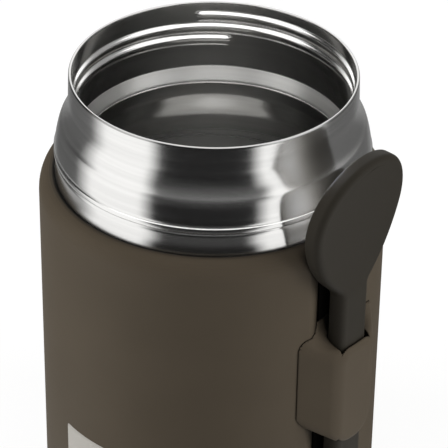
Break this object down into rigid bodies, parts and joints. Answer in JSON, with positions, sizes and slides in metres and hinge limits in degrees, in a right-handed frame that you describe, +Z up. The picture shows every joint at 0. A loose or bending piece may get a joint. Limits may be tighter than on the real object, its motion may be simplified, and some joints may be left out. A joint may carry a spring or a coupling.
{
  "type": "insulated food jar",
  "caption": "Vacuum-walled steel food jar in a moulded casing, its wide mouth open, with a plastic spoon that lifts out of a holder on its side.",
  "frame": {"origin": "centre of the face that the jar stands on, on the jar's axis", "axes": "+Z up along the jar's axis, out of the mouth; +X towards the spoon and its holder"},
  "size_m": [0.1044, 0.095, 0.14],
  "materials": {
    "inner_steel": "satin, turned",
    "outer_steel": "satin, turned",
    "plug": "dull",
    "getter": "sintered, dull",
    "foil": "bright foil",
    "soft_black": "matte",
    "casing_plastic": "fine matte",
    "liner": "matte",
    "spoon_plastic": "fine matte"
  },
  "bodies": {
    "jar": {"inner_vessel": "inner_steel", "outer_vessel": "outer_steel", "vacuum_base": "outer_steel", "tip_off_plug": "plug", "getter": "getter", "foil_shield": "foil", "neck_gasket": "soft_black", "casing": "casing_plastic", "channel_liner": "liner", "spoon_holder": "casing_plastic", "base_cap": "casing_plastic", "support_cushion": "soft_black", "base_pad": "soft_black"},
    "spoon": {"spoon": "spoon_plastic"}
  },
  "joints": [
    {"name": "spoon_slide", "type": "slide", "parent": "jar", "child": "spoon", "axis": [0, 0, 1], "range_m": [0, 0.13]}
  ]
}
